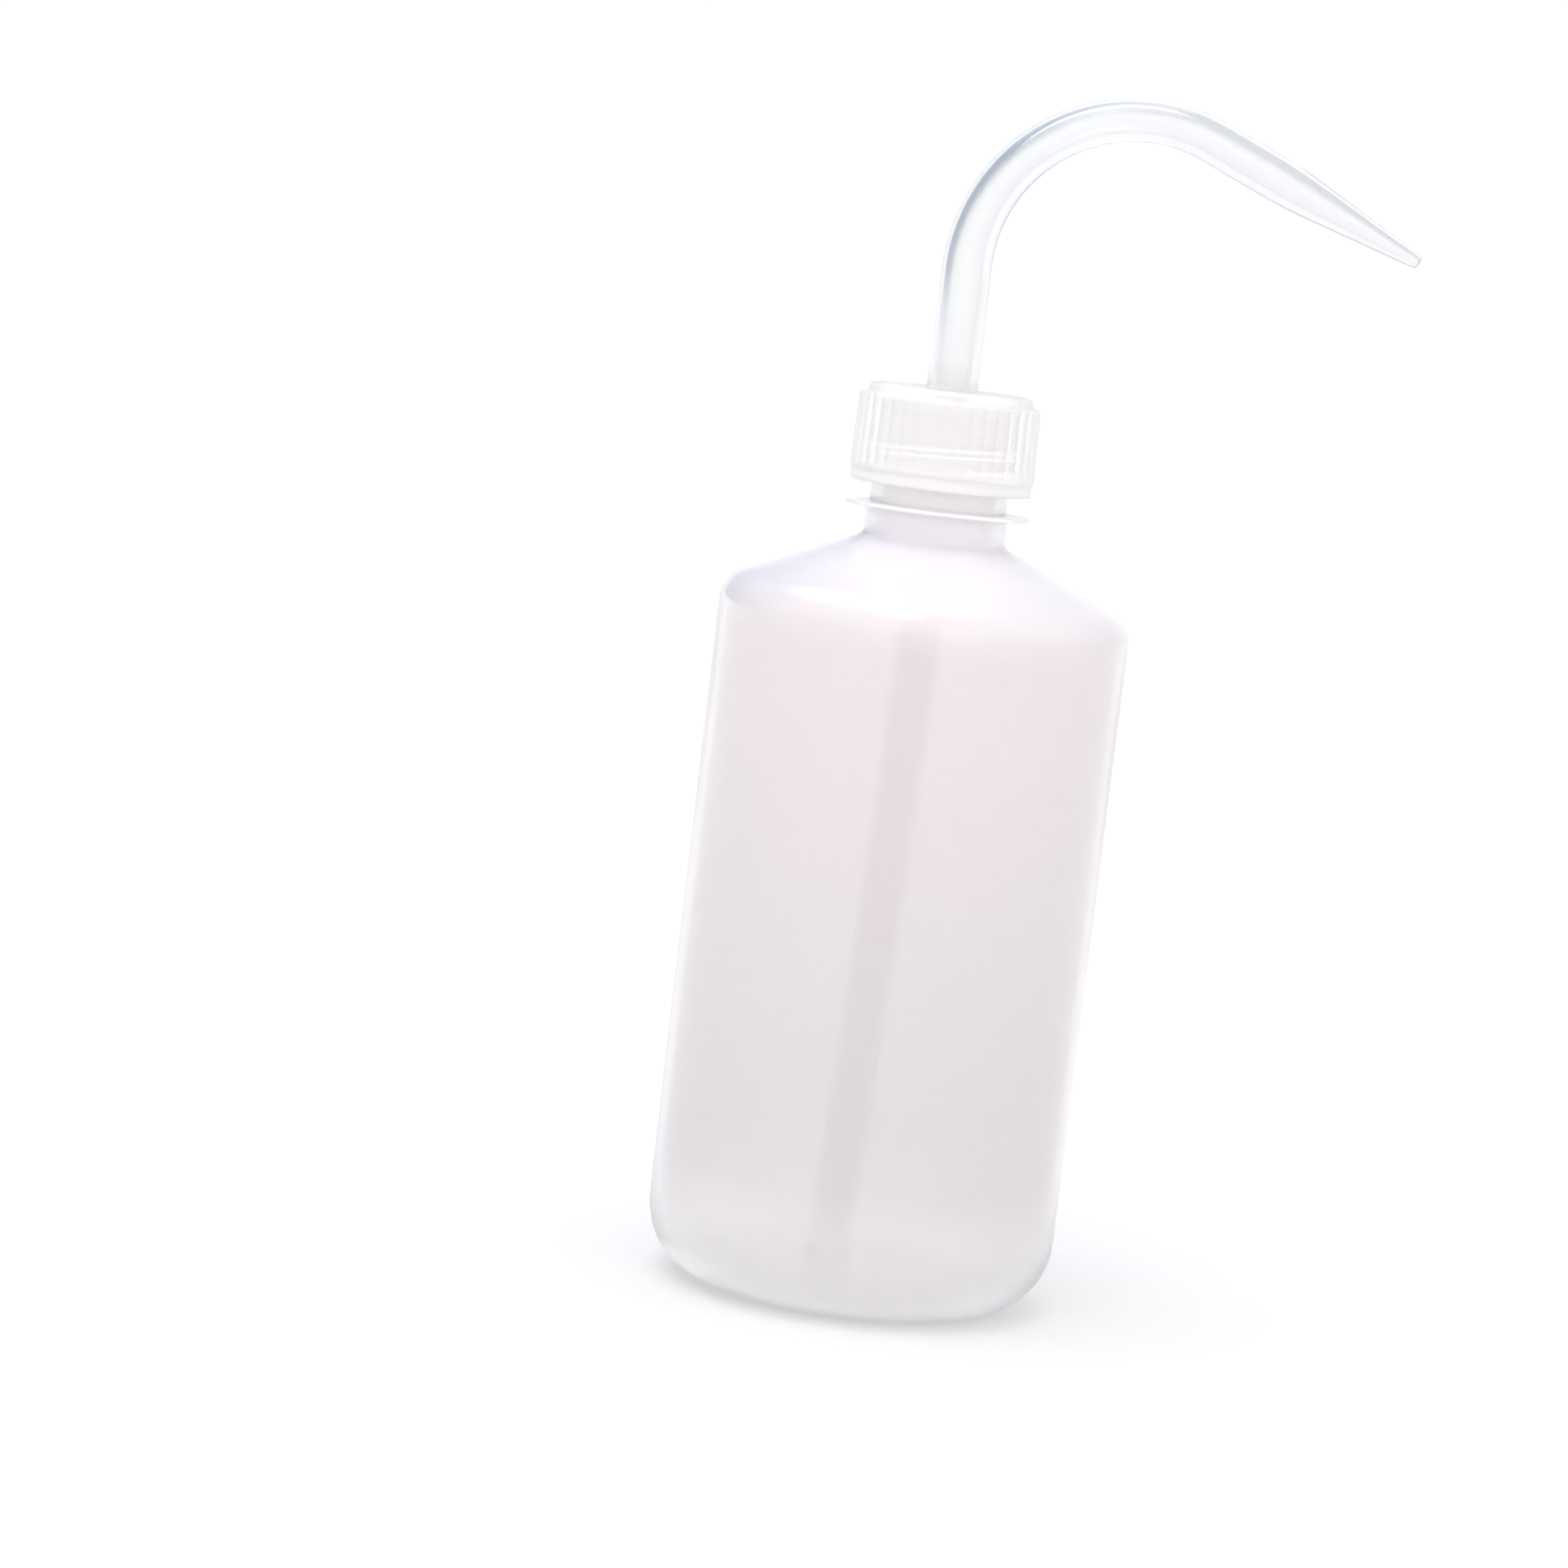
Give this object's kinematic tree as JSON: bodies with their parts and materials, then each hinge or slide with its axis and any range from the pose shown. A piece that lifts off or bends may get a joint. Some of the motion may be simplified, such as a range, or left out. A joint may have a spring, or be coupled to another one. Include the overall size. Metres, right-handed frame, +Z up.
{
  "type": "wash bottle",
  "caption": "Squeezable translucent bottle with a ribbed screw closure, a bent tapering delivery nozzle and an inner draw tube, for rinsing.",
  "frame": {"origin": "centre of the flat base, on the bottle's axis", "axes": "+Z up along the bottle's axis, +X the way the nozzle points, the XZ plane holds the nozzle"},
  "size_m": [0.0966, 0.061, 0.1811],
  "materials": {
    "bottle_plastic": "natural translucent low-density polyethylene, soft sheen",
    "closure_plastic": "natural clear polypropylene, gloss",
    "tube_plastic": "natural translucent low-density polyethylene",
    "seal_foam": "foamed polyethylene, pale"
  },
  "bodies": {
    "bottle": {"bottle": "bottle_plastic"},
    "seal": {"sealing_liner": "seal_foam"},
    "closure": {"closure": "closure_plastic", "draw_tube": "tube_plastic"}
  },
  "joints": [
    {"name": "closure_rise", "type": "slide", "parent": "bottle", "child": "seal", "axis": [0, 0, 1], "range_m": [0, 0.00478]},
    {"name": "closure_turn", "type": "hinge", "parent": "seal", "child": "closure", "pos_m": [0, 0, 0.1275], "axis": [0, 0, 1], "range_deg": [0, 540]}
  ],
  "couplings": [
    {"joint": "closure_rise", "follows": "closure_turn", "m_per_rad": 0.00050532}
  ]
}
